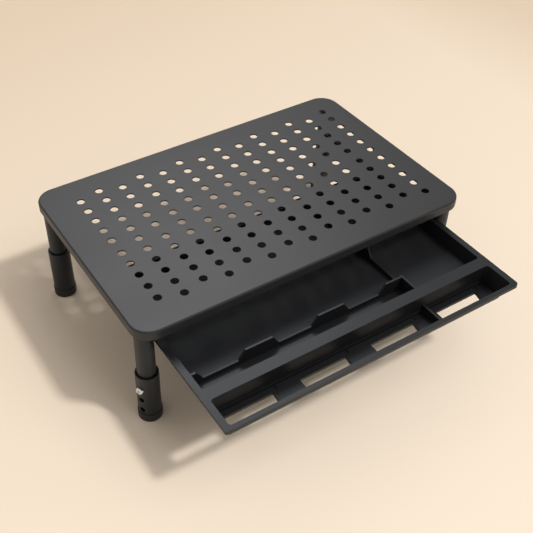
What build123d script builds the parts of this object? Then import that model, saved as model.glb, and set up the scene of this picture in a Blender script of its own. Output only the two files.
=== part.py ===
from build123d import *
import os
from math import cos, radians, sin, tan

# Laptop stand: a perforated folded steel platform on four telescopic legs, with a moulded
# drawer hung on two rails under it.  Millimetres.  +X right, +Y to the back, +Z up.
# Origin: on the floor, in the middle of the footprint that the stand has with its drawer open.

# ---- platform
platform_length = 370.0
platform_depth = 235.0
sheet_thickness = 1.5
rim_height = 10.0
corner_radius = 20.0
bend_radius = 1.9

# ---- ventilation holes: long and short columns take turns, the short ones have a wider middle
vent_diameter = 8.0
vent_columns = 14
vent_rows = 11
vent_pitch_x = 23.5
vent_pitch_y = 17.6
vent_middle_gap = 21.3
vent_shift_x = 5.05

# ---- legs
stand_height = 125.0
leg_inset_x = 12.0
leg_inset_y = 18.0
tube_diameter = 18.0
tube_wall = 1.5
tube_engagement = 20.0
end_ring_height = 4.0
pad_diameter = 18.0
pad_thickness = 2.0
stud_diameter = 8.0
stud_length = 18.0
stud_chamfer = 0.8
insert_length = 14.0
thread_clearance = 0.05

# ---- sleeves, feet and lock screws
sleeve_top_height = 60.0
sleeve_wall = 1.75
sleeve_clearance = 0.5
sleeve_edge_chamfer = 0.5
lock_hole_diameter = 6.0
lock_hole_pitch = 14.0
lock_hole_count = 3
first_hole_depth = 16.0
lock_bearing = 65.0
rear_lock_bearing = 12.0
foot_height = 10.0
foot_wall = 0.6
foot_sole = 3.0
foot_edge_chamfer = 0.9
foot_clearance = 0.05
screw_clearance = 0.1
screw_head_diameter = 7.8
screw_head_height = 2.4
screw_head_chamfer = 0.8
screw_socket_width = 3.0
screw_socket_depth = 1.3

# ---- drawer tray
drawer_drop = 27.0
drawer_setback = 3.0
drawer_back_gap = 13.0
drawer_shown_open = 106.4
drawer_side_gap = 1.0
lip_width = 6.4
front_lip_width = 4.6
lip_thickness = 3.5
lip_corner_radius = 4.5
front_left_corner_radius = 1.2
tray_wall = 2.0
tray_corner_radius = 3.0
bay_depth = 16.0
trough_depth = 21.0
trough_width = 30.8
front_rake = 21.0
side_rake = 10.0
ridge_width = 12.5
ledge_drop = 17.5
ledge_width = 1.2

# ---- scalloped dividers
divider_thickness = 2.0
divider_top_drop = 0.8
divider_offset = 19.0
divider_x = 75.5
dip_depth = 10.2
dip_top_width = 50.0
dip_foot_width = 36.0
dip_pitch = 79.0
first_dip_offset = 30.1
side_dip_offset = 25.5
cross_wall_height = 10.0

# ---- trough windows
window_length = 51.0
window_width = 11.5
window_count = 4
window_pitch = 78.8
window_first_offset = 33.3
window_back_margin = 7.3
window_collar_height = 4.5
window_collar_wall = 2.0
peg_hole_diameter = 4.0
peg_hole_depth = 1.2
peg_hole_step_x = 3.8
peg_hole_step_y = 3.9

# ---- drawer rails and their glide strips
rail_thickness = 1.2
rail_flange_width = 12.0
rail_bend_radius = 1.0
rail_post_width = 8.0
rail_window_margin = 1.5
rail_leg_gap = 1.8
glide_thickness = 1.2
glide_side_clearance = 0.4
glide_top_clearance = 0.3
glide_bottom_clearance = 0.2
glide_lip_cover = 3.8
stop_tab_length = 6.0
stop_tab_height = 2.2
stop_ear_length = 4.0
stop_clearance = 0.2
rail_stop_margin = 18.5
fixing_count = 3
fixing_end_margin = 14.0
rail_stud_diameter = 4.0
rail_stud_length = 6.0
nut_across_flats = 7.0
nut_height = 3.2
rivet_diameter = 3.0
rivet_head_diameter = 5.5
rivet_head_height = 1.0

# ---- places worked out from the sizes above
platform_front = (drawer_shown_open - drawer_setback - platform_depth) / 2
platform_back = platform_front + platform_depth
platform_middle = (platform_front + platform_back) / 2
platform_left = -platform_length / 2
underside = stand_height - sheet_thickness
tube_radius = tube_diameter / 2
tube_bore_radius = tube_radius - tube_wall
sleeve_bore_radius = tube_radius + sleeve_clearance
sleeve_radius = sleeve_bore_radius + sleeve_wall
tube_bottom = sleeve_top_height - tube_engagement
pad_bottom = underside - pad_thickness
leg_x = platform_length / 2 - leg_inset_x
legs = [
    ("front_left", -1, -1, platform_front + leg_inset_y),
    ("front_right", 1, -1, platform_front + leg_inset_y),
    ("rear_left", -1, 1, platform_back - leg_inset_y),
    ("rear_right", 1, 1, platform_back - leg_inset_y),
]

drawer_top = stand_height - drawer_drop
drawer_depth = platform_depth - drawer_setback - drawer_back_gap
drawer_half = leg_x - tube_radius - drawer_side_gap
drawer_left = -drawer_half
drawer_front = platform_front + drawer_setback - drawer_shown_open
drawer_back = drawer_front + drawer_depth
trough_back = drawer_front + front_lip_width + trough_width
ridge_back = trough_back + ridge_width
bay_floor = drawer_top - bay_depth
trough_floor = drawer_top - trough_depth
divider_y = ridge_back + divider_offset

rail_front = platform_front + leg_inset_y + sleeve_radius + rail_leg_gap
rail_back = platform_back - leg_inset_y - sleeve_radius - rail_leg_gap
rail_length = rail_back - rail_front
glide_web_inside = drawer_half + glide_side_clearance
rail_web_inside = glide_web_inside + glide_thickness
rail_web_outside = rail_web_inside + rail_thickness
glide_gap_top = drawer_top + glide_top_clearance
glide_gap_bottom = drawer_top - lip_thickness - glide_bottom_clearance
rail_shelf_top = glide_gap_bottom - glide_thickness
rail_shelf_inside = drawer_half - glide_lip_cover
stop_tab_outside = rail_shelf_inside - stop_clearance
stop_ear_inside = drawer_half - lip_width + stop_clearance
drawer_travel = rail_length - rail_stop_margin - 2 * stop_ear_length - stop_tab_length - 2 * stop_clearance
front_ear_back = rail_front + stop_ear_length
stop_tab_front = front_ear_back + stop_clearance + drawer_travel - drawer_shown_open
stop_tab_closed_back = stop_tab_front + drawer_shown_open + stop_tab_length
rear_ear_front = stop_tab_closed_back + stop_clearance
fixing_step = (rail_length - 2 * fixing_end_margin) / (fixing_count - 1)
fixing_places = [rail_front + fixing_end_margin + fixing_step * i for i in range(fixing_count)]
rail_window_bottom = glide_gap_top + glide_thickness + rail_window_margin
rail_window_top = underside - rail_thickness - rail_bend_radius - rail_window_margin
flange_middle = rail_web_inside + (rail_thickness + rail_flange_width) / 2
rivet_z = (glide_gap_top + glide_gap_bottom) / 2


def vent_centres():
    """Centres of the ventilation holes, column by column from the left."""
    centres = []
    for column in range(vent_columns):
        x = vent_shift_x + vent_pitch_x * (column - (vent_columns - 1) / 2)
        if column % 2:
            rows = [vent_pitch_y * (row - (vent_rows - 1) / 2) for row in range(vent_rows)]
        else:
            near = [vent_middle_gap / 2 + vent_pitch_y * row for row in range((vent_rows - 1) // 2)]
            rows = [-y for y in near] + near
        centres += [(x, platform_middle + y) for y in rows]
    return centres


def raked_block(top_plan, foot_plan, top_z, foot_z, mode):
    """Block between two rectangles, each given as left, front, right and back."""
    sections = []
    for plan, z in ((top_plan, top_z), (foot_plan, foot_z)):
        left, front, right, back = plan
        with BuildSketch(Plane.XY.offset(z)) as section:
            with Locations(((left + right) / 2, (front + back) / 2)):
                RectangleRounded(right - left, back - front, tray_corner_radius)
        sections.append(section.sketch)
    loft(sections=sections, mode=mode)


def scallop(start, end, start_lean, end_lean, centres):
    """Outline of a bay divider, with a dip in its top edge at each centre and leaning ends."""
    top_z = drawer_top - divider_top_drop
    points = [(start + start_lean, bay_floor), (start, top_z)]
    for centre in centres:
        points.append((centre - dip_top_width / 2, top_z))
        points.append((centre - dip_foot_width / 2, top_z - dip_depth))
        points.append((centre + dip_foot_width / 2, top_z - dip_depth))
        points.append((centre + dip_top_width / 2, top_z))
    points += [(end, top_z), (end - end_lean, bay_floor)]
    return points


def dip_centres(first, end):
    """Centres of the dips in a divider's top edge, as many as fit before its end."""
    centres = [first]
    while centres[-1] + dip_pitch + dip_top_width / 2 < end:
        centres.append(centres[-1] + dip_pitch)
    return centres


def across(y):
    """Upright plane at y, facing the front: its x is X and its y is Z."""
    return Plane(origin=(0, y, 0), x_dir=(1, 0, 0), z_dir=(0, -1, 0))


def beside(x, side):
    """Upright plane at x, facing away from the middle: its x is Y times side and its y is Z."""
    return Plane(origin=(x, 0, 0), x_dir=(0, side, 0), z_dir=(side, 0, 0))


def radial(x, y, z, side, end):
    """Plane on a leg's axis whose normal points the way that leg's lock screw faces."""
    turn = radians(lock_bearing if end < 0 else rear_lock_bearing)
    return Plane(origin=(x, y, z), x_dir=(0, 0, 1), z_dir=(side * sin(turn), end * cos(turn), 0))


os.makedirs("parts", exist_ok=True)

# ---- platform: one sheet, folded down all round, with its ventilation holes
with BuildPart() as platform:
    with BuildSketch(Plane.XY.offset(stand_height - rim_height)):
        with Locations((0, platform_middle)):
            RectangleRounded(platform_length, platform_depth, corner_radius)
    extrude(amount=rim_height)
    fillet(platform.edges().group_by(Axis.Z)[-1], radius=bend_radius)
    offset(amount=-sheet_thickness, openings=platform.faces().sort_by(Axis.Z)[0])
    with BuildSketch(Plane.XY.offset(stand_height)):
        with Locations(*vent_centres()):
            Circle(vent_diameter / 2)
    extrude(amount=-2 * sheet_thickness, mode=Mode.SUBTRACT)
platform.part.label = "platform"
export_step(platform.part, "parts/platform.step")

# ---- welded pads and studs that carry the legs
with BuildPart() as leg_pads:
    with BuildSketch(Plane.XY.offset(pad_bottom)):
        with Locations(*[(side * leg_x, y) for _, side, _, y in legs]):
            Circle(pad_diameter / 2)
            Circle(stud_diameter / 2 + thread_clearance, mode=Mode.SUBTRACT)
    extrude(amount=pad_thickness)
leg_pads.part.label = "leg_pads"
export_step(leg_pads.part, "parts/leg_pads.step")

with BuildPart() as leg_studs:
    with BuildSketch(Plane.XY.offset(underside - stud_length)):
        with Locations(*[(side * leg_x, y) for _, side, _, y in legs]):
            Circle(stud_diameter / 2)
    extrude(amount=stud_length)
    chamfer(leg_studs.edges().group_by(Axis.Z)[0], length=stud_chamfer)
leg_studs.part.label = "leg_studs"
export_step(leg_studs.part, "parts/leg_studs.step")

with BuildPart() as tube_inserts:
    with BuildSketch(Plane.XY.offset(pad_bottom - insert_length)):
        with Locations(*[(side * leg_x, y) for _, side, _, y in legs]):
            Circle(tube_bore_radius - thread_clearance)
            Circle(stud_diameter / 2 + thread_clearance, mode=Mode.SUBTRACT)
    extrude(amount=insert_length)
tube_inserts.part.label = "tube_inserts"
export_step(tube_inserts.part, "parts/tube_inserts.step")

with BuildPart() as tube_end_rings:
    with BuildSketch(Plane.XY.offset(tube_bottom)):
        with Locations(*[(side * leg_x, y) for _, side, _, y in legs]):
            Circle(tube_bore_radius - thread_clearance)
            Circle(tube_bore_radius - tube_wall, mode=Mode.SUBTRACT)
    extrude(amount=end_ring_height)
tube_end_rings.part.label = "tube_end_rings"
export_step(tube_end_rings.part, "parts/tube_end_rings.step")

# ---- the four legs: fixed tube, telescopic sleeve, rubber foot and lock screw
for name, side, end, y in legs:
    x = side * leg_x

    with BuildPart() as tube:
        with BuildSketch(Plane((x, y, tube_bottom))):
            Circle(tube_radius)
            Circle(tube_bore_radius, mode=Mode.SUBTRACT)
        extrude(amount=pad_bottom - tube_bottom)
    tube.part.label = f"{name}_tube"
    export_step(tube.part, f"parts/{name}_tube.step")

    with BuildPart() as sleeve:
        with BuildSketch(Plane((x, y, foot_sole))):
            Circle(sleeve_radius)
            Circle(sleeve_bore_radius, mode=Mode.SUBTRACT)
        extrude(amount=sleeve_top_height - foot_sole)
        chamfer(sleeve.edges().group_by(Axis.Z)[-1], length=sleeve_edge_chamfer)
        for hole in range(lock_hole_count):
            hole_z = sleeve_top_height - first_hole_depth - lock_hole_pitch * hole
            with BuildSketch(radial(x, y, hole_z, side, end)):
                Circle(lock_hole_diameter / 2)
            extrude(amount=2 * sleeve_radius, mode=Mode.SUBTRACT)
    sleeve.part.label = f"{name}_sleeve"
    export_step(sleeve.part, f"parts/{name}_sleeve.step")

    with BuildPart() as foot:
        with BuildSketch(Plane((x, y, 0))):
            Circle(sleeve_radius + foot_wall)
        extrude(amount=foot_height)
        chamfer(foot.edges().group_by(Axis.Z)[0], length=foot_edge_chamfer)
        with BuildSketch(Plane((x, y, foot_sole))):
            Circle(sleeve_radius + foot_clearance)
        extrude(amount=foot_height, mode=Mode.SUBTRACT)
    foot.part.label = f"{name}_foot"
    export_step(foot.part, f"parts/{name}_foot.step")

    screw_axis = radial(x, y, sleeve_top_height - first_hole_depth, side, end)
    screw_tip = tube_radius + screw_clearance
    with BuildPart() as lock_screw:
        with BuildSketch(screw_axis.offset(screw_tip)):
            Circle(lock_hole_diameter / 2 - screw_clearance)
        extrude(amount=sleeve_radius + screw_clearance - screw_tip)
        with BuildSketch(screw_axis.offset(sleeve_radius + screw_clearance)):
            Circle(screw_head_diameter / 2)
        extrude(amount=screw_head_height)
        outward = Axis(screw_axis.origin, screw_axis.z_dir)
        chamfer(lock_screw.edges().group_by(outward)[-1], length=screw_head_chamfer)
        with BuildSketch(screw_axis.offset(sleeve_radius + screw_clearance + screw_head_height)):
            RegularPolygon(screw_socket_width / 2, 6)
        extrude(amount=-screw_socket_depth, mode=Mode.SUBTRACT)
    lock_screw.part.label = f"{name}_lock_screw"
    export_step(lock_screw.part, f"parts/{name}_lock_screw.step")

# ---- rails: folded sheet with a flange under the platform and a shelf under the drawer's lip
for name, side in (("left", -1), ("right", 1)):
    rail_points = [
        (rail_web_inside, underside),
        (rail_web_inside + rail_flange_width, underside),
        (rail_web_inside + rail_flange_width, underside - rail_thickness),
        (rail_web_outside, underside - rail_thickness),
        (rail_web_outside, rail_shelf_top - rail_thickness),
        (rail_shelf_inside, rail_shelf_top - rail_thickness),
        (rail_shelf_inside, rail_shelf_top),
        (rail_web_inside, rail_shelf_top),
    ]
    with BuildPart() as rail:
        with BuildSketch(across(rail_back)):
            with BuildLine():
                Polyline(*[(side * x, z) for x, z in rail_points], close=True)
            make_face()
        extrude(amount=rail_length)
        outer_bends = [(rail_web_inside, underside), (rail_web_outside, rail_shelf_top - rail_thickness)]
        for bend_x, bend_z in outer_bends:
            bend = Vector(side * bend_x, (rail_front + rail_back) / 2, bend_z)
            fillet(rail.edges().filter_by(Axis.Y).sort_by_distance(bend)[0], radius=rail_bend_radius)
        with BuildSketch(Plane.XY.offset(underside)):
            with Locations(*[(side * flange_middle, y) for y in fixing_places]):
                Circle(rail_stud_diameter / 2 + screw_clearance)
        extrude(amount=-2 * rail_thickness, mode=Mode.SUBTRACT)
        with BuildSketch(beside(side * glide_web_inside, side)):
            with Locations(*[(side * y, rivet_z) for y in fixing_places]):
                Circle(rivet_diameter / 2 + thread_clearance)
        extrude(amount=2 * (glide_thickness + rail_thickness), mode=Mode.SUBTRACT)
        with BuildSketch(beside(side * glide_web_inside, side)):
            with Locations(*[(side * (y + fixing_step / 2), (rail_window_bottom + rail_window_top) / 2)
                             for y in fixing_places[:-1]]):
                Rectangle(fixing_step - rail_post_width, rail_window_top - rail_window_bottom)
        extrude(amount=2 * (glide_thickness + rail_thickness), mode=Mode.SUBTRACT)
    rail.part.label = f"{name}_rail"
    export_step(rail.part, f"parts/{name}_rail.step")

    glide_points = [
        (rail_web_inside, glide_gap_top + glide_thickness),
        (rail_web_inside, rail_shelf_top),
        (rail_shelf_inside, rail_shelf_top),
        (rail_shelf_inside, glide_gap_bottom),
        (glide_web_inside, glide_gap_bottom),
        (glide_web_inside, glide_gap_top),
        (rail_shelf_inside, glide_gap_top),
        (rail_shelf_inside, glide_gap_top + glide_thickness),
    ]
    with BuildPart() as glide:
        with BuildSketch(across(rail_back)):
            with BuildLine():
                Polyline(*[(side * x, z) for x, z in glide_points], close=True)
            make_face()
        extrude(amount=rail_length)
        with BuildSketch(Plane.XY.offset(glide_gap_top)):
            for ear_front in (rail_front, rear_ear_front):
                with Locations((side * (rail_shelf_inside + stop_ear_inside) / 2,
                                ear_front + stop_ear_length / 2)):
                    Rectangle(rail_shelf_inside - stop_ear_inside, stop_ear_length)
        extrude(amount=glide_thickness)
        with BuildSketch(beside(side * glide_web_inside, side)):
            with Locations(*[(side * y, rivet_z) for y in fixing_places]):
                Circle(rivet_diameter / 2 + thread_clearance)
        extrude(amount=2 * glide_thickness, mode=Mode.SUBTRACT)
    glide.part.label = f"{name}_glide"
    export_step(glide.part, f"parts/{name}_glide.step")

# ---- studs and nuts that hold the rails, rivets that hold the glides
flange_places = [(side * flange_middle, y) for side in (-1, 1) for y in fixing_places]

with BuildPart() as rail_studs:
    with BuildSketch(Plane.XY.offset(underside - rail_stud_length)):
        with Locations(*flange_places):
            Circle(rail_stud_diameter / 2)
    extrude(amount=rail_stud_length)
rail_studs.part.label = "rail_studs"
export_step(rail_studs.part, "parts/rail_studs.step")

with BuildPart() as rail_nuts:
    with BuildSketch(Plane.XY.offset(underside - rail_thickness - nut_height)):
        with Locations(*flange_places):
            RegularPolygon(nut_across_flats / 2, 6, major_radius=False)
            Circle(rail_stud_diameter / 2 + thread_clearance, mode=Mode.SUBTRACT)
    extrude(amount=nut_height)
rail_nuts.part.label = "rail_nuts"
export_step(rail_nuts.part, "parts/rail_nuts.step")

with BuildPart() as glide_rivets:
    for side in (-1, 1):
        with BuildSketch(beside(side * glide_web_inside, side)):
            with Locations(*[(side * y, rivet_z) for y in fixing_places]):
                Circle(rivet_diameter / 2)
        extrude(amount=glide_thickness + rail_thickness)
        with BuildSketch(beside(side * rail_web_outside, side)):
            with Locations(*[(side * y, rivet_z) for y in fixing_places]):
                Circle(rivet_head_diameter / 2)
        extrude(amount=rivet_head_height)
glide_rivets.part.label = "glide_rivets"
export_step(glide_rivets.part, "parts/glide_rivets.step")

# ---- drawer tray: one moulding
window_front = trough_back - window_back_margin - window_width
window_places = [
    (drawer_left + window_first_offset + lip_width + window_pitch * i, window_front + window_width / 2)
    for i in range(window_count)
]
opening = (drawer_left + lip_width, drawer_front + front_lip_width, drawer_half - lip_width,
           drawer_back - lip_width)


def inset(plan, left, front, right, back):
    """A plan drawn in by the given amounts on its four sides."""
    return (plan[0] + left, plan[1] + front, plan[2] - right, plan[3] - back)


def rake(depth, angle):
    """How far a wall leans in over a depth."""
    return depth * tan(radians(angle))


with BuildPart() as drawer_tray:
    # lip
    with BuildSketch(Plane.XY.offset(drawer_top - lip_thickness)):
        with Locations((0, (drawer_front + drawer_back) / 2)):
            Rectangle(2 * drawer_half, drawer_depth)
    extrude(amount=lip_thickness)
    sharp_corner = Vector(drawer_left, drawer_front, drawer_top)
    lip_corners = drawer_tray.edges().filter_by(Axis.Z).sort_by_distance(sharp_corner)
    fillet(lip_corners[1:], radius=lip_corner_radius)
    lip_corners = drawer_tray.edges().filter_by(Axis.Z).sort_by_distance(sharp_corner)
    fillet(lip_corners[0], radius=front_left_corner_radius)

    # outsides of the bays and of the deeper trough
    shell = inset(opening, -tray_wall, -tray_wall, -tray_wall, -tray_wall)
    bay_shell_depth = bay_depth + tray_wall
    bay_lean = rake(bay_shell_depth, side_rake)
    bay_top = (shell[0], trough_back, shell[2], shell[3])
    bay_foot = inset(bay_top, bay_lean, 0, bay_lean, bay_lean)
    raked_block(bay_top, bay_foot, drawer_top, drawer_top - bay_shell_depth, Mode.ADD)

    trough_shell_depth = trough_depth + tray_wall
    trough_lean = rake(trough_shell_depth, side_rake)
    front_lean = rake(trough_shell_depth, front_rake)
    trough_top = (shell[0], shell[1], shell[2], trough_back + tray_wall)
    trough_foot = inset(trough_top, trough_lean, front_lean, trough_lean, 0)
    raked_block(trough_top, trough_foot, drawer_top, drawer_top - trough_shell_depth, Mode.ADD)

    # collars under the windows
    with BuildSketch(Plane.XY.offset(drawer_top - trough_shell_depth - window_collar_height)):
        with Locations(*window_places):
            Rectangle(window_length + 2 * window_collar_wall, window_width + 2 * window_collar_wall)
    extrude(amount=window_collar_height + tray_wall / 2)

    # bays behind the ridge, trough in front of it, and the hollow under the ridge
    bay_lean = rake(bay_depth, side_rake)
    bay = (opening[0], ridge_back, opening[2], opening[3])
    raked_block(bay, inset(bay, bay_lean, 0, bay_lean, bay_lean), drawer_top, bay_floor, Mode.SUBTRACT)
    trough_lean = rake(trough_depth, side_rake)
    trough = (opening[0], opening[1], opening[2], trough_back)
    trough_inside = inset(trough, trough_lean, rake(trough_depth, front_rake), trough_lean, 0)
    raked_block(trough, trough_inside, drawer_top, trough_floor, Mode.SUBTRACT)
    with BuildSketch(Plane.XY.offset(drawer_top - trough_shell_depth)):
        with Locations((0, (trough_back + ridge_back) / 2)):
            Rectangle(2 * (opening[2] - trough_lean), ridge_width - 2 * tray_wall)
    extrude(amount=trough_shell_depth - tray_wall, mode=Mode.SUBTRACT)

    # ledge along the foot of the ridge's front face
    with BuildSketch(Plane.XY.offset(trough_floor)):
        with Locations((0, trough_back - ledge_width / 2)):
            Rectangle(2 * (opening[2] - trough_lean) + tray_wall, ledge_width)
    extrude(amount=trough_depth - ledge_drop)

    # scalloped divider across the bays, and the one that runs back from the ridge
    divider_end = divider_x + divider_thickness
    dips = dip_centres(opening[0] + first_dip_offset, divider_end)
    with BuildSketch(across(divider_y + divider_thickness)):
        with BuildLine():
            Polyline(*scallop(opening[0], divider_end, bay_lean, 0, dips), close=True)
        make_face()
    extrude(amount=divider_thickness)
    side_dips = dip_centres(divider_y + side_dip_offset + divider_thickness, opening[3])
    with BuildSketch(Plane(origin=(divider_x, 0, 0), x_dir=(0, 1, 0), z_dir=(1, 0, 0))):
        with BuildLine():
            Polyline(*scallop(ridge_back, opening[3], 0, bay_lean, side_dips), close=True)
        make_face()
    extrude(amount=divider_thickness)

    # low wall across the trough
    cross_top = trough_floor + cross_wall_height
    cross_points = [
        (trough_back, trough_floor),
        (trough_back, cross_top),
        (opening[1] + rake(drawer_top - cross_top, front_rake), cross_top),
        (opening[1] + rake(trough_depth, front_rake), trough_floor),
    ]
    with BuildSketch(Plane(origin=(divider_x, 0, 0), x_dir=(0, 1, 0), z_dir=(1, 0, 0))):
        with BuildLine():
            Polyline(*cross_points, close=True)
        make_face()
    extrude(amount=divider_thickness)

    # windows
    with BuildSketch(Plane.XY.offset(trough_floor)):
        with Locations(*window_places):
            Rectangle(window_length, window_width)
    extrude(amount=-2 * (tray_wall + window_collar_height), mode=Mode.SUBTRACT)

    # round recesses beside them
    with BuildSketch(Plane.XY.offset(trough_floor)):
        with Locations(*[(x + window_length / 2 + peg_hole_step_x, y + window_width / 2 + peg_hole_step_y)
                         for x, y in window_places]):
            Circle(peg_hole_diameter / 2)
    extrude(amount=-peg_hole_depth, mode=Mode.SUBTRACT)

    # stop tabs on the lip
    with BuildSketch(Plane.XY.offset(drawer_top)):
        for side in (-1, 1):
            with Locations((side * (opening[2] + stop_tab_outside) / 2,
                            stop_tab_front + stop_tab_length / 2)):
                Rectangle(stop_tab_outside - opening[2], stop_tab_length)
    extrude(amount=stop_tab_height)
drawer_tray.part.label = "drawer_tray"
export_step(drawer_tray.part, "parts/drawer_tray.step")

print("platform front, back:", platform_front, platform_back)
print("drawer front, back, top:", drawer_front, drawer_back, drawer_top)
print("drawer range about rest:", -drawer_shown_open, drawer_travel - drawer_shown_open)
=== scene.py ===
import math

import bmesh
import bpy
from mathutils import Matrix, Vector


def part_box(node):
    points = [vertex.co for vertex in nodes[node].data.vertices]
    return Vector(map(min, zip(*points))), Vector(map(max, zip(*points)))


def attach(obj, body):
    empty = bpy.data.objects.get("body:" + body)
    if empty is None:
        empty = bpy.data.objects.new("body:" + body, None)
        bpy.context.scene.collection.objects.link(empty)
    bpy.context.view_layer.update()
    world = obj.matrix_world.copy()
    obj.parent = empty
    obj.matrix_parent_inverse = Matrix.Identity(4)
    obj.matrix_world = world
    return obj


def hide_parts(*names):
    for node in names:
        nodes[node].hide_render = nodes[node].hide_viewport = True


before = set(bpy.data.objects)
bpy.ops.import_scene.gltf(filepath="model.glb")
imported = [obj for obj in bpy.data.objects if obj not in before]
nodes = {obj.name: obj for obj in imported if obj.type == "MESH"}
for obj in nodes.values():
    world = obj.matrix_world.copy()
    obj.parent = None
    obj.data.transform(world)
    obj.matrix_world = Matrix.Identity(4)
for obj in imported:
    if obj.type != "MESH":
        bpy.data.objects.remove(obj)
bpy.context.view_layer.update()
scene = bpy.context.scene
mm = 0.001
touching = 0.001 * mm
flatAngle = math.radians(0.6)
cornerAngle = math.radians(32)
softenedCornerAngle = math.radians(50)
bevelSegments = 2
print("frame loaded:", len(nodes), "nodes")


class Wire:
    # a node's output that adds up like a number
    def __init__(self, web, socket):
        self.web = web
        self.socket = socket

    def maths(self, operation, *others):
        return self.web.make("ShaderNodeMath", {"operation": operation}, [self, *others])

    def __add__(self, other):
        return self.maths("ADD", other)

    def __mul__(self, other):
        return self.maths("MULTIPLY", other)

    def __sub__(self, other):
        return self.maths("SUBTRACT", other)

    def __rsub__(self, other):
        return self.web.make("ShaderNodeMath", {"operation": "SUBTRACT"}, [other, self])

    def __truediv__(self, other):
        return self.maths("DIVIDE", other)

    def __mod__(self, other):
        return self.maths("MODULO", other)

    def __gt__(self, other):
        return self.maths("GREATER_THAN", other)


class Web:
    # one node tree, with one way to add a node to it
    def __init__(self, tree):
        self.tree = tree

    def make(self, kind, settings=None, values=None, output=0):
        node = self.tree.nodes.new(kind)
        for name, value in (settings or {}).items():
            setattr(node, name, value)
        pairs = values.items() if isinstance(values, dict) else enumerate(values or [])
        for key, value in pairs:
            for each in value if isinstance(value, list) else [value]:
                if isinstance(each, Wire):
                    self.tree.links.new(each.socket, node.inputs[key])
                else:
                    node.inputs[key].default_value = each
        return Wire(self, node.outputs[output] if len(node.outputs) else None)


def geometryTree(name, inputs, build):
    # a Geometry Nodes tree, and the identifier of each of its inputs
    tree = bpy.data.node_groups.new(name, "GeometryNodeTree")
    keys = {}
    for label, kind in inputs.items():
        keys[label] = tree.interface.new_socket(label, in_out="INPUT", socket_type=kind).identifier
    tree.interface.new_socket("Geometry", in_out="OUTPUT", socket_type="NodeSocketGeometry")
    web = Web(tree)
    source = tree.nodes.new("NodeGroupInput")
    wires = {label: Wire(web, source.outputs[label]) for label in inputs}
    target = tree.nodes.new("NodeGroupOutput")
    tree.links.new(build(web, wires).socket, target.inputs[0])
    return tree, keys


def grow(name, tree, keys, values):
    # the mesh that a tree makes from these values, as a piece of its own
    seed = bpy.data.objects.new(name + "Seed", bpy.data.meshes.new(name + "Seed"))
    scene.collection.objects.link(seed)
    modifier = seed.modifiers.new("grow", "NODES")
    modifier.node_group = tree
    for label, value in values.items():
        modifier[keys[label]] = value
    graph = bpy.context.evaluated_depsgraph_get()
    mesh = bpy.data.meshes.new_from_object(seed.evaluated_get(graph), depsgraph=graph)
    bpy.data.objects.remove(seed)
    mesh.name = name
    return newPiece(name, mesh)


def newPiece(name, data):
    piece = bpy.data.objects.new(name, data)
    scene.collection.objects.link(piece)
    return piece


def sectionCurve(name, points):
    # a drawn profile for Curve to Mesh, which never renders itself
    curve = bpy.data.curves.new(name, "CURVE")
    curve.dimensions = "2D"
    spline = curve.splines.new("POLY")
    spline.points.add(len(points) - 1)
    for point, (x, y) in zip(spline.points, points):
        point.co = (x, y, 0, 1)
    piece = newPiece(name, curve)
    piece.hide_render = True
    return piece


def bend(centre, radius, start, end, steps):
    # points along an arc, angles in degrees
    turns = [math.radians(start + (end - start) * i / steps) for i in range(steps + 1)]
    return [(centre[0] + radius * math.cos(t), centre[1] + radius * math.sin(t)) for t in turns]


def rework(mesh, change):
    # joins the vertices that touch, then makes the change
    work = bmesh.new()
    work.from_mesh(mesh)
    bmesh.ops.remove_doubles(work, verts=work.verts, dist=touching)
    change(work)
    work.to_mesh(mesh)
    work.free()


def turnFacesOut(work):
    bmesh.ops.recalc_face_normals(work, faces=work.faces)


def joinFlatFaces(work):
    bmesh.ops.dissolve_limit(work, angle_limit=flatAngle, verts=work.verts, edges=work.edges)


def smooth(piece, sharpFrom):
    piece.data.shade_smooth()
    piece.data.set_sharp_from_angle(angle=sharpFrom)
    weighted = piece.modifiers.new("even normals", "WEIGHTED_NORMAL")
    weighted.keep_sharp = True


def softened(node, name, width):
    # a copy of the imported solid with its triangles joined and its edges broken
    mesh = nodes[node].data.copy()
    mesh.name = name
    piece = newPiece(name, mesh)
    rework(mesh, joinFlatFaces)
    broken = piece.modifiers.new("broken edges", "BEVEL")
    broken.width = width
    broken.segments = bevelSegments
    broken.limit_method = "ANGLE"
    broken.angle_limit = cornerAngle
    smooth(piece, softenedCornerAngle)
    return piece


def turned(name, profile, centre, steps):
    # a closed profile of radius and height turned about an upright axis
    count = len(profile)
    points = []
    faces = []
    for i in range(steps):
        turn = 2 * math.pi * i / steps
        points += [(centre.x + r * math.cos(turn), centre.y + r * math.sin(turn), z) for r, z in profile]
        here = i * count
        there = (i + 1) % steps * count
        for j in range(count):
            k = (j + 1) % count
            faces.append((here + j, there + j, there + k, here + k))
    mesh = bpy.data.meshes.new(name)
    mesh.from_pydata(points, [], faces)
    rework(mesh, turnFacesOut)
    return newPiece(name, mesh)


def material(name, build):
    made = bpy.data.materials.new(name)
    made.use_nodes = True
    made.node_tree.nodes.clear()
    web = Web(made.node_tree)
    web.make("ShaderNodeOutputMaterial", None, {"Surface": build(web)})
    return made


def place(web):
    return web.make("ShaderNodeTexCoord", None, None, "Object")


def noise(web, scale, detail=2.0, rough=0.5):
    return web.make("ShaderNodeTexNoise", None,
                    {"Vector": place(web), "Scale": scale, "Detail": detail, "Roughness": rough}, "Fac")


def tint(web, factor, low, high):
    return web.make("ShaderNodeMix", {"data_type": "RGBA"},
                    {0: factor, 6: (*low, 1), 7: (*high, 1)}, 2)


def bump(web, height, distance, strength, under=None):
    values = {"Height": height, "Distance": distance, "Strength": strength}
    if under is not None:
        values["Normal"] = under
    return web.make("ShaderNodeBump", None, values)


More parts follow.
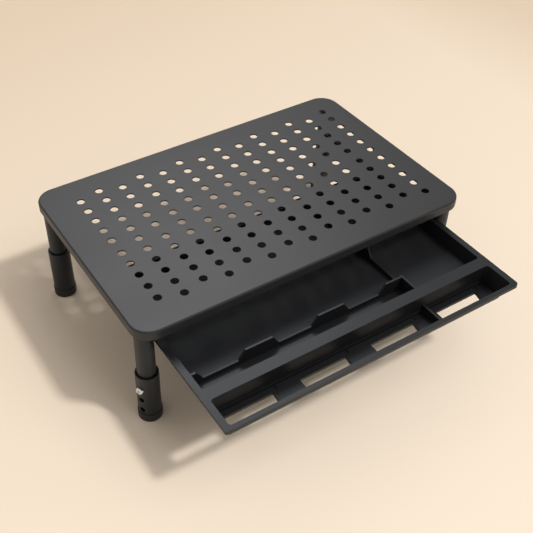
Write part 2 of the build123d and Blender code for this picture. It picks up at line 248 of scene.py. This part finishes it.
# scales are noise cells per metre, and depths are how high the bumps stand
powderGrain = {
    "cloudScale": 14.0,
    "peelScale": 650.0,
    "peelDepth": 0.09 * mm,
    "peelStrength": 0.7,
    "grainScale": 2400.0,
    "grainDepth": 0.04 * mm,
    "grainStrength": 0.6,
    "speckScale": 1500.0,
    "speckLevel": 0.69,
    "mirroring": 0.4,
}
plasticGrain = {
    "cloudScale": 9.0,
    "grainScale": 1900.0,
    "grainStrength": 0.5,
    "mirroring": 0.36,
    "sheen": (0.90, 0.95, 1.0),
}
metalGrain = {"cloudScale": 40.0, "streakDepth": 0.01 * mm, "streakStrength": 0.4}


def powderCoat(name, dark, pale, roughness, sheen=(0.96, 0.96, 1.0)):
    def build(web):
        cloud = noise(web, powderGrain["cloudScale"], 3.0)
        peel = noise(web, powderGrain["peelScale"])
        grain = noise(web, powderGrain["grainScale"], 3.0, 0.65)
        speck = noise(web, powderGrain["speckScale"], 1.0) > powderGrain["speckLevel"]
        peeled = bump(web, peel, powderGrain["peelDepth"], powderGrain["peelStrength"])
        return web.make("ShaderNodeBsdfPrincipled", None, {
            "Base Color": tint(web, cloud * 0.5 + grain * 0.5, dark, pale),
            "Roughness": cloud * 0.10 + grain * 0.10 + speck * 0.06 + (roughness - 0.10),
            "Specular IOR Level": powderGrain["mirroring"],
            "Specular Tint": (*sheen, 1.0),
            "Normal": bump(web, grain, powderGrain["grainDepth"], powderGrain["grainStrength"], peeled),
        })
    return material(name, build)


def mouldedPlastic(name, dark, pale, roughness, grainDepth=0.03 * mm):
    def build(web):
        cloud = noise(web, plasticGrain["cloudScale"], 3.0)
        grain = noise(web, plasticGrain["grainScale"], 2.0, 0.6)
        return web.make("ShaderNodeBsdfPrincipled", None, {
            "Base Color": tint(web, cloud * 0.6 + grain * 0.4, dark, pale),
            "Roughness": cloud * 0.08 + grain * 0.10 + (roughness - 0.09),
            "Specular IOR Level": plasticGrain["mirroring"],
            "Specular Tint": (*plasticGrain["sheen"], 1.0),
            "Normal": bump(web, grain, grainDepth, plasticGrain["grainStrength"]),
        })
    return material(name, build)


def plainMetal(name, dark, pale, roughness, streakScale):
    def build(web):
        streaks = noise(web, streakScale, 4.0, 0.6)
        cloud = noise(web, metalGrain["cloudScale"])
        return web.make("ShaderNodeBsdfPrincipled", None, {
            "Base Color": tint(web, streaks * 0.7 + cloud * 0.3, dark, pale),
            "Metallic": 1.0,
            "Roughness": streaks * 0.15 + (roughness - 0.07),
            "Normal": bump(web, streaks, metalGrain["streakDepth"], metalGrain["streakStrength"]),
        })
    return material(name, build)


platformCoat = powderCoat("platformCoat", (0.012, 0.012, 0.013), (0.022, 0.022, 0.023), 0.46)
legCoat = powderCoat("legCoat", (0.008, 0.0085, 0.0095), (0.013, 0.0135, 0.0145), 0.42,
                     sheen=(0.80, 0.90, 1.0))
railCoat = powderCoat("railCoat", (0.014, 0.014, 0.015), (0.022, 0.022, 0.023), 0.46)
trayPlastic = mouldedPlastic("trayPlastic", (0.006, 0.0062, 0.007), (0.009, 0.0092, 0.010), 0.46)
glidePlastic = mouldedPlastic("glidePlastic", (0.012, 0.012, 0.013), (0.018, 0.018, 0.019), 0.34,
                              grainDepth=0.01 * mm)
insertPlastic = mouldedPlastic("insertPlastic", (0.016, 0.016, 0.017), (0.022, 0.022, 0.023), 0.5)
footRubber = mouldedPlastic("footRubber", (0.010, 0.010, 0.011), (0.015, 0.015, 0.016), 0.55,
                            grainDepth=0.05 * mm)
screwChrome = plainMetal("screwChrome", (0.62, 0.63, 0.65), (0.78, 0.79, 0.80), 0.16, 300.0)
zincSteel = plainMetal("zincSteel", (0.45, 0.46, 0.47), (0.60, 0.61, 0.61), 0.35, 900.0)
rivetMetal = plainMetal("rivetMetal", (0.50, 0.50, 0.51), (0.62, 0.62, 0.63), 0.30, 700.0)
print("finishes made")


def finish(piece, skin):
    piece.data.materials.clear()
    piece.data.materials.append(skin)


# the platform is a perforated sheet folded down all round
platformSizes = {
    "cornerRadius": 20 * mm,
    "bendRadius": 1.9 * mm,
    "thickness": 1.5 * mm,
    "holeDiameter": 8 * mm,
    "holeEdge": 0.35 * mm,
    "footEdge": 0.4 * mm,
    "columns": 14,
    "rows": 11,
    "pitchX": 23.5 * mm,
    "pitchY": 17.6 * mm,
    "middleGap": 21.3 * mm,
    "leftMargin": 37.3 * mm,
    "cornerSteps": 15,
    "holeSides": 40,
    "bendSteps": 6,
    "innerBendSteps": 4,
    "edgeSteps": 3,
    "seam": 0.01 * mm,
}


def platformTree(web, wire):
    # outline of the flat top, drawn in by the bend's radius
    rectangle = web.make("GeometryNodeCurvePrimitiveQuadrilateral", {"mode": "RECTANGLE"},
                         {"Width": wire["Flat Length"], "Height": wire["Flat Depth"]})
    outline = web.make("GeometryNodeFilletCurve", {"mode": "POLY"},
                       {"Curve": rectangle, "Count": platformSizes["cornerSteps"],
                        "Radius": wire["Flat Corner"]})

    # long and short columns of holes take turns
    index = web.make("GeometryNodeInputIndex")
    column = (index / wire["Rows"]).maths("FLOOR")
    row = index - column * wire["Rows"]
    long = column % 2
    x = column * wire["Pitch X"] + wire["First X"]
    longY = (row - (wire["Rows"] - 1) / 2) * wire["Pitch Y"]
    fromMiddle = row - (wire["Rows"] - 2) / 2
    shortY = fromMiddle * wire["Pitch Y"]
    shortY = shortY + fromMiddle.maths("SIGN") * ((wire["Middle Gap"] - wire["Pitch Y"]) / 2)
    y = long * longY + (1 - long) * shortY
    spot = web.make("ShaderNodeCombineXYZ", None, {"X": x, "Y": y})
    points = web.make("GeometryNodePoints", None,
                      {"Count": wire["Columns"] * wire["Rows"], "Position": spot})
    spare = (1 - long) * (row > (wire["Rows"] - 1.5))
    points = web.make("GeometryNodeDeleteGeometry", {"domain": "POINT"},
                      {"Geometry": points, "Selection": spare})
    circle = web.make("GeometryNodeCurvePrimitiveCircle", {"mode": "RADIUS"},
                      {"Resolution": platformSizes["holeSides"], "Radius": wire["Hole Rim Radius"]})
    holes = web.make("GeometryNodeInstanceOnPoints", None, {"Points": points, "Instance": circle})
    holes = web.make("GeometryNodeRealizeInstances", None, {"Geometry": holes})

    # flat faces above and below, hole walls and folded rim
    both = web.make("GeometryNodeJoinGeometry", None, {"Geometry": [outline, holes]})
    upper = web.make("GeometryNodeFillCurve", None, {"Curve": both})
    drop = web.make("ShaderNodeCombineXYZ", None, {"Z": wire["Thickness"] * -1})
    lower = web.make("GeometryNodeTransform", None, {"Geometry": upper, "Translation": drop})
    holeSection = web.make("GeometryNodeObjectInfo", None, {"Object": wire["Hole Section"]}, "Geometry")
    rimSection = web.make("GeometryNodeObjectInfo", None, {"Object": wire["Rim Section"]}, "Geometry")
    walls = web.make("GeometryNodeCurveToMesh", None, {"Curve": holes, "Profile Curve": holeSection})
    rim = web.make("GeometryNodeCurveToMesh", None, {"Curve": outline, "Profile Curve": rimSection})
    whole = web.make("GeometryNodeJoinGeometry", None, {"Geometry": [upper, lower, walls, rim]})
    whole = web.make("GeometryNodeMergeByDistance", None,
                     {"Geometry": whole, "Distance": platformSizes["seam"]})
    return web.make("GeometryNodeSetMaterial", None, {"Geometry": whole, "Material": wire["Finish"]})


def makePlatform(sizes):
    low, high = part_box("platform")
    bendRadius = sizes["bendRadius"]
    thickness = sizes["thickness"]
    innerBend = bendRadius - thickness
    drop = high.z - low.z
    footEdge = sizes["footEdge"]
    holeEdge = sizes["holeEdge"]
    edgeSteps = sizes["edgeSteps"]

    # profiles, outwards and downwards: over the bend, down, round the sheet's edge and up again
    rimPoints = bend((0, bendRadius), bendRadius, -90, 0, sizes["bendSteps"])
    rimPoints += bend((bendRadius - footEdge, drop - footEdge), footEdge, 0, 90, edgeSteps)
    rimPoints += bend((innerBend + footEdge, drop - footEdge), footEdge, 90, 180, edgeSteps)
    rimPoints += bend((0, bendRadius), innerBend, 0, -90, sizes["innerBendSteps"])
    holePoints = bend((0, holeEdge), holeEdge, -90, -180, edgeSteps)
    holePoints += bend((0, thickness - holeEdge), holeEdge, 180, 90, edgeSteps)
    rimSection = sectionCurve("rimSection", rimPoints)
    holeSection = sectionCurve("holeSection", holePoints)
    kinds = {
        "Flat Length": "NodeSocketFloat", "Flat Depth": "NodeSocketFloat",
        "Flat Corner": "NodeSocketFloat", "Thickness": "NodeSocketFloat",
        "Columns": "NodeSocketInt", "Rows": "NodeSocketInt",
        "Pitch X": "NodeSocketFloat", "Pitch Y": "NodeSocketFloat",
        "Middle Gap": "NodeSocketFloat", "First X": "NodeSocketFloat",
        "Hole Rim Radius": "NodeSocketFloat", "Hole Section": "NodeSocketObject",
        "Rim Section": "NodeSocketObject", "Finish": "NodeSocketMaterial",
    }
    tree, keys = geometryTree("perforatedPlatform", kinds, platformTree)
    piece = grow("perforatedPlatform", tree, keys, {
        "Flat Length": high.x - low.x - 2 * bendRadius,
        "Flat Depth": high.y - low.y - 2 * bendRadius,
        "Flat Corner": sizes["cornerRadius"] - bendRadius,
        "Thickness": thickness,
        "Columns": sizes["columns"],
        "Rows": sizes["rows"],
        "Pitch X": sizes["pitchX"],
        "Pitch Y": sizes["pitchY"],
        "Middle Gap": sizes["middleGap"],
        "First X": low.x + sizes["leftMargin"],
        "Hole Rim Radius": sizes["holeDiameter"] / 2 + holeEdge,
        "Hole Section": holeSection,
        "Rim Section": rimSection,
        "Finish": platformCoat,
    })
    bpy.data.objects.remove(rimSection)
    bpy.data.objects.remove(holeSection)
    piece.data.transform(Matrix.Translation(((low.x + high.x) / 2, (low.y + high.y) / 2, high.z)))
    rework(piece.data, turnFacesOut)
    smooth(piece, cornerAngle)
    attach(piece, "stand")
    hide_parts("platform")


makePlatform(platformSizes)
print("platform made")

traySizes = {
    "brokenEdge": 0.2 * mm,
    "troughUnderside": 75 * mm,
    "troughRounding": 0.5 * mm,
    "thinnestCollar": 0.3 * mm,
}


def makeTray(sizes):
    tray = softened("drawer_tray", "drawerTray", sizes["brokenEdge"])
    # the collars under the windows thin out towards the back, where the photograph shows none
    collarTop = sizes["troughUnderside"] - sizes["troughRounding"]
    collars = [vertex.co for vertex in tray.data.vertices if vertex.co.z < collarTop]
    lowest = min(point.z for point in collars)
    front = min(point.y for point in collars)
    back = max(point.y for point in collars)
    rise = sizes["troughUnderside"] - sizes["thinnestCollar"] - lowest
    for point in collars:
        point.z += rise * (point.y - front) / (back - front)
    finish(tray, trayPlastic)
    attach(tray, "drawer")
    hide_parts("drawer_tray")


makeTray(traySizes)
print("drawer made")

legNames = ["front_left", "front_right", "rear_left", "rear_right"]
legSizes = {
    "tubeWall": 1.5 * mm,
    "tubeEdge": 0.5 * mm,
    "edgeSteps": 3,
    "turnSteps": 72,
    "sleeveEdge": 0.3 * mm,
    "screwEdge": 0.15 * mm,
    "footEdge": 0.3 * mm,
}


def camel(name):
    first, *rest = name.split("_")
    return first + "".join(word.capitalize() for word in rest)


def makeLeg(leg, sizes):
    low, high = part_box(leg + "_tube")
    centre = (low + high) / 2
    radius = (high.x - low.x) / 2
    edge = sizes["tubeEdge"]
    bore = radius - sizes["tubeWall"]
    profile = bend((radius - edge, low.z + edge), edge, -90, 0, sizes["edgeSteps"])
    profile += bend((radius - edge, high.z - edge), edge, 0, 90, sizes["edgeSteps"])
    profile += [(bore, high.z), (bore, low.z)]
    tube = turned(camel(leg + "_leg_tube"), profile, centre, sizes["turnSteps"])
    finish(tube, legCoat)
    smooth(tube, cornerAngle)
    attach(tube, "stand")
    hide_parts(leg + "_tube")

    for part, brokenEdge, skin, slot in (
        ("sleeve", sizes["sleeveEdge"], legCoat, "sleeve_coat"),
        ("foot", sizes["footEdge"], footRubber, "foot_rubber"),
        ("lock_screw", sizes["screwEdge"], screwChrome, "screw_chrome"),
    ):
        piece = softened(f"{leg}_{part}", camel(f"{leg}_leg_{part}"), brokenEdge)
        finish(piece, skin)
        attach(piece, leg + "_leg_end")
        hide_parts(f"{leg}_{part}")


for leg in legNames:
    makeLeg(leg, legSizes)
print("legs made")

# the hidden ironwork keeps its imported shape
for node, skin in {
    "leg_pads": zincSteel, "leg_studs": zincSteel, "tube_inserts": insertPlastic,
    "tube_end_rings": insertPlastic, "left_rail": railCoat, "right_rail": railCoat,
    "left_glide": glidePlastic, "right_glide": glidePlastic, "rail_studs": zincSteel,
    "rail_nuts": zincSteel, "glide_rivets": rivetMetal,
}.items():
    finish(nodes[node], skin)
print("ironwork dressed")

# the far and near floor colours paint light that falls off towards the back, and the dimming on the far
# right is painted shade
floorSizes = {
    "reach": 6.0,
    "far": (0.655, 0.540, 0.415),
    "near": (0.84, 0.735, 0.61),
    "farLine": 0.80,
    "nearLine": -0.30,
    "slant": 0.2,
    "paintedShadeStart": 0.55,
    "paintedShadeEnd": 0.80,
    "paintedShadeDepth": 0.6,
    "cloudScale": 2.5,
    "clouding": 0.04,
}


def makeFloor(sizes):
    reach = sizes["reach"]
    mesh = bpy.data.meshes.new("floor")
    corners = [(-reach, -reach, 0), (reach, -reach, 0), (reach, reach, 0), (-reach, reach, 0)]
    mesh.from_pydata(corners, [], [(0, 1, 2, 3)])
    floor = newPiece("floor", mesh)

    def build(web):
        cloud = noise(web, sizes["cloudScale"], 3.0)
        across = web.make("ShaderNodeSeparateXYZ", None, {0: place(web)}, "X")
        along = web.make("ShaderNodeSeparateXYZ", None, {0: place(web)}, "Y")
        # painted light: the floor's colour runs from the darker far tone at the back to the lighter near
        # tone at the front, slanted towards the right, standing in for light that falls off with
        # distance
        distance = along - across * sizes["slant"]
        paintedLightNearness = web.make("ShaderNodeMapRange", None, {
            0: distance, 1: sizes["farLine"], 2: sizes["nearLine"], 3: 0.0, 4: 1.0})
        # painted shade: the floor is a little dimmer on the far right, as in the photograph, where the
        # light falls off
        paintedShade = web.make("ShaderNodeMapRange", None, {
            0: across, 1: sizes["paintedShadeStart"], 2: sizes["paintedShadeEnd"], 3: 0.0, 4: sizes["paintedShadeDepth"]})
        tone = paintedLightNearness - paintedShade + cloud * sizes["clouding"] - sizes["clouding"] / 2
        return web.make("ShaderNodeBsdfPrincipled", None, {
            "Base Color": tint(web, tone, sizes["far"], sizes["near"]),
            "Roughness": 0.7,
            "Specular IOR Level": 0.2,
        })

    finish(floor, material("floorPaper", build))


# bearings, heights and angles are in degrees; the card is seen only in reflections, the others never
daylight = (1.0, 0.985, 0.965)
lights = {
    "sun": {"kind": "SUN", "bearing": 141.0, "height": 55.0, "distance": 2.0, "angle": 5.5,
            "power": 1.75, "colour": daylight, "mirrored": False},
    "bigWindow": {"kind": "SUN", "bearing": 141.0, "height": 56.0, "distance": 2.0, "angle": 45.0,
                  "power": 0.95, "colour": daylight, "mirrored": False},
    "card": {"kind": "AREA", "bearing": 20.0, "height": 54.0, "distance": 1.3, "size": 0.7,
             "power": 9.0, "colour": (1.0, 0.99, 0.98), "mirrored": True},
}
lightTarget = Vector((0, 0, 0.1))
roomLight = {
    "lighting": ((1.0, 0.935, 0.87), 0.51),
    "mirrored": ((0.985, 0.985, 1.0), 0.62),
    "seen": ((0.92, 0.81, 0.68), 1.0),
}


def makeLights(lamps, target):
    for name, facts in lamps.items():
        lamp = bpy.data.lights.new(name, facts["kind"])
        lamp.energy = facts["power"]
        lamp.color = facts["colour"]
        if facts["kind"] == "SUN":
            lamp.angle = math.radians(facts["angle"])
        else:
            lamp.size = facts["size"]
        bearing = math.radians(facts["bearing"])
        height = math.radians(facts["height"])
        reach = math.cos(height)
        towards = Vector((math.sin(bearing) * reach, math.cos(bearing) * reach, math.sin(height)))
        lampObject = newPiece(name, lamp)
        lampObject.visible_glossy = facts["mirrored"]
        lampObject.visible_diffuse = not facts["mirrored"]
        lampObject.location = target + towards * facts["distance"]
        lampObject.rotation_euler = (-towards).to_track_quat("-Z", "Y").to_euler()


def makeRoom(colours):
    # the room has one colour as a light, one as seen in mirrors and one as the backdrop
    world = bpy.data.worlds.new("room")
    world.use_nodes = True
    world.node_tree.nodes.clear()
    web = Web(world.node_tree)

    def backdrop(use):
        colour, strength = colours[use]
        return web.make("ShaderNodeBackground", None, {"Color": (*colour, 1.0), "Strength": strength})

    room = backdrop("lighting")
    for use, ray in (("mirrored", "Is Glossy Ray"), ("seen", "Is Camera Ray")):
        rays = web.make("ShaderNodeLightPath", None, None, ray)
        room = web.make("ShaderNodeMixShader", None, {0: rays, 1: room, 2: backdrop(use)})
    web.make("ShaderNodeOutputWorld", None, {"Surface": room})
    scene.world = world


photoView = {
    "side": 533,
    "focalPixels": 858.5,
    "centre": (231.4, 264.5),
    "place": (-0.3802, -0.5257, 0.6550),
    "looking": (0.3930, 0.6301, -0.6697),
    "sensor": 36.0,
}


def makeCamera(view):
    lens = bpy.data.cameras.new("photoCamera")
    lens.sensor_width = view["sensor"]
    lens.lens = view["focalPixels"] / view["side"] * view["sensor"]
    middle = view["side"] / 2
    lens.shift_x = (middle - view["centre"][0]) / view["side"]
    lens.shift_y = (view["centre"][1] - middle) / view["side"]
    camera = newPiece("photoCamera", lens)
    camera.location = view["place"]
    camera.rotation_euler = Vector(view["looking"]).to_track_quat("-Z", "Y").to_euler()
    scene.camera = camera


makeFloor(floorSizes)
makeLights(lights, lightTarget)
makeRoom(roomLight)
makeCamera(photoView)
scene.view_settings.view_transform = "Standard"
print("floor, lights and camera set")
